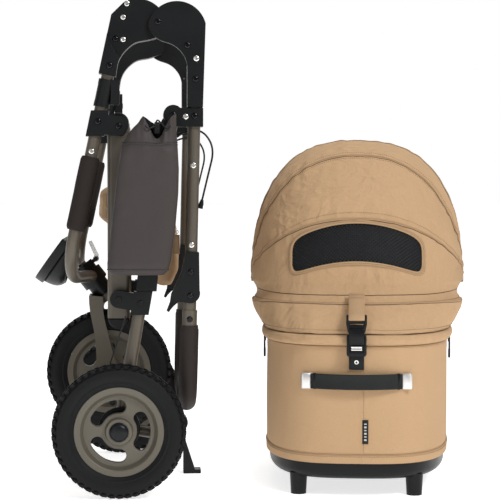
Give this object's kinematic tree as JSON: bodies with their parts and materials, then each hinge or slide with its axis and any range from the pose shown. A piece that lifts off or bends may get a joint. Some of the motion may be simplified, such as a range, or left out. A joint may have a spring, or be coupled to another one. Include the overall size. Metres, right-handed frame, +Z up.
{
  "type": "pet stroller",
  "caption": "Folding pet stroller: tube frame folded upright with a stand foot and drawstring bag, beside its lift-off fabric carrier with domed hood and mesh window.",
  "frame": {"origin": "on the floor, under the middle of the bounding box", "axes": "+Z up; the stroller's rolling direction is -X; wheel axles along Y; the carrier stands on the +X side"},
  "size_m": [0.802, 0.6814, 0.8535],
  "materials": {
    "bag_nylon": "matte",
    "black_plastic": "matte",
    "black_webbing": "matte",
    "bright_steel": "satin",
    "frame_paint": "satin",
    "grip_leatherette": "matte",
    "hood_rod": "satin",
    "rim_paint": "satin",
    "tan_canvas": "matte",
    "tyre_rubber": "matte",
    "window_net": "matte"
  },
  "bodies": {
    "rear_frame": {"rear_legs": "frame_paint", "rear_yoke": "frame_paint", "cross_tube": "frame_paint", "stub_axles": "bright_steel", "brake_drums": "black_plastic", "rail_brackets": "black_plastic", "drum_cables": "tyre_rubber", "stand_foot": "black_plastic", "storage_bag": "bag_nylon", "bag_straps": "black_webbing", "cord_lock": "black_plastic", "basket": "tan_canvas"},
    "handle": {"handle_tubes": "frame_paint", "push_bar": "frame_paint", "grip_cover": "grip_leatherette", "rear_hubs": "black_plastic", "leg_clevises": "black_plastic", "lever_housings": "black_plastic", "handle_screws": "bright_steel", "brake_cables": "tyre_rubber"},
    "brake_lever_left": {"brake_lever_left": "black_plastic"},
    "brake_lever_right": {"brake_lever_right": "black_plastic"},
    "front_frame": {"front_tubes": "frame_paint", "front_hubs": "black_plastic", "rail_clamps": "black_plastic", "foam_sleeves": "grip_leatherette", "lock_sleeves": "black_plastic", "steering_housing": "black_plastic", "front_tray": "black_plastic", "front_screws": "bright_steel"},
    "swivel_lock_lever": {"swivel_lock_lever": "bright_steel"},
    "side_rails": {"side_rails": "frame_paint", "rail_caps": "black_plastic"},
    "fork": {"fork": "frame_paint", "front_axle": "bright_steel"},
    "front_wheel": {"tyre_front": "tyre_rubber", "rim_front": "rim_paint", "bearings_front": "bright_steel"},
    "rear_wheel_left": {"tyre_rear_left": "tyre_rubber", "rim_rear_left": "rim_paint", "bearings_rear_left": "bright_steel", "hub_cap_rear_left": "black_plastic"},
    "rear_wheel_right": {"tyre_rear_right": "tyre_rubber", "rim_rear_right": "rim_paint", "bearings_rear_right": "bright_steel", "hub_cap_rear_right": "black_plastic"},
    "cord_lock_button": {"cord_lock_button": "black_plastic"},
    "carrier": {"carrier_body": "tan_canvas", "carrier_base": "black_plastic", "rim_band": "tan_canvas", "mat": "tan_canvas", "rear_hood": "tan_canvas", "rear_hoops": "hood_rod", "grab_handles": "black_webbing", "buckle_lower": "black_plastic", "zip_pulls": "black_plastic"},
    "front_hood": {"front_hood": "tan_canvas", "window_mesh": "window_net", "front_hoops": "hood_rod", "buckle_upper": "black_plastic"}
  },
  "joints": [
    {"name": "frame_fold", "type": "hinge", "parent": "rear_frame", "child": "handle", "pos_m": [-0.15026, -0.03461, 0.6549], "axis": [0, -1, 0], "range_deg": [0, 108.85]},
    {"name": "front_fold", "type": "hinge", "parent": "handle", "child": "front_frame", "pos_m": [-0.17616, -0.03461, 0.8133], "axis": [0, -1, 0], "range_deg": [-162.1, 0]},
    {"name": "rail_fold", "type": "hinge", "parent": "rear_frame", "child": "side_rails", "pos_m": [-0.24476, -0.03461, 0.337], "axis": [0, -1, 0], "range_deg": [0, 50.7]},
    {"name": "fork_swivel", "type": "hinge", "parent": "front_frame", "child": "fork", "pos_m": [-0.29516, -0.03461, 0.364], "axis": [0.6157, 0, -0.788], "range_deg": [-45, 45]},
    {"name": "front_wheel_spin", "type": "hinge", "parent": "fork", "child": "front_wheel", "pos_m": [-0.26546, -0.03461, 0.1916], "axis": [0, 1, 0], "continuous": true},
    {"name": "rear_wheel_left_spin", "type": "hinge", "parent": "rear_frame", "child": "rear_wheel_left", "pos_m": [-0.24406, -0.26961, 0.115], "axis": [0, 1, 0], "continuous": true},
    {"name": "rear_wheel_right_spin", "type": "hinge", "parent": "rear_frame", "child": "rear_wheel_right", "pos_m": [-0.24406, 0.20039, 0.115], "axis": [0, 1, 0], "continuous": true},
    {"name": "brake_left_squeeze", "type": "hinge", "parent": "handle", "child": "brake_lever_left", "pos_m": [-0.14294, -0.21961, 0.341], "axis": [0, -1, 0], "range_deg": [0, 18], "stiffness_Nm_per_rad": 0.5},
    {"name": "brake_right_squeeze", "type": "hinge", "parent": "handle", "child": "brake_lever_right", "pos_m": [-0.14294, 0.15039, 0.341], "axis": [0, -1, 0], "range_deg": [0, 18], "stiffness_Nm_per_rad": 0.5},
    {"name": "swivel_lock", "type": "hinge", "parent": "front_frame", "child": "swivel_lock_lever", "pos_m": [-0.28945, -0.02421, 0.39892], "axis": [0, 1, 0], "range_deg": [0, 30]},
    {"name": "cord_lock_press", "type": "slide", "parent": "rear_frame", "child": "cord_lock_button", "axis": [0, 0, -1], "range_m": [0, 0.003], "stiffness_N_per_m": 150},
    {"name": "carrier_park", "type": "slide", "parent": "rear_frame", "child": "carrier", "axis": [1, 0, 0], "range_m": [0, 0.65]},
    {"name": "hood_open", "type": "hinge", "parent": "carrier", "child": "front_hood", "pos_m": [0.20164, 0.00539, 0.362], "axis": [-0.9905, 0.1374, 0], "range_deg": [0, 75]}
  ],
  "couplings": [
    {"joint": "front_fold", "follows": "frame_fold", "ratio": -1.4883},
    {"joint": "rail_fold", "follows": "frame_fold", "ratio": 0.46514},
    {"joint": "carrier_park", "follows": "frame_fold", "m_per_rad": 0.33793}
  ]
}
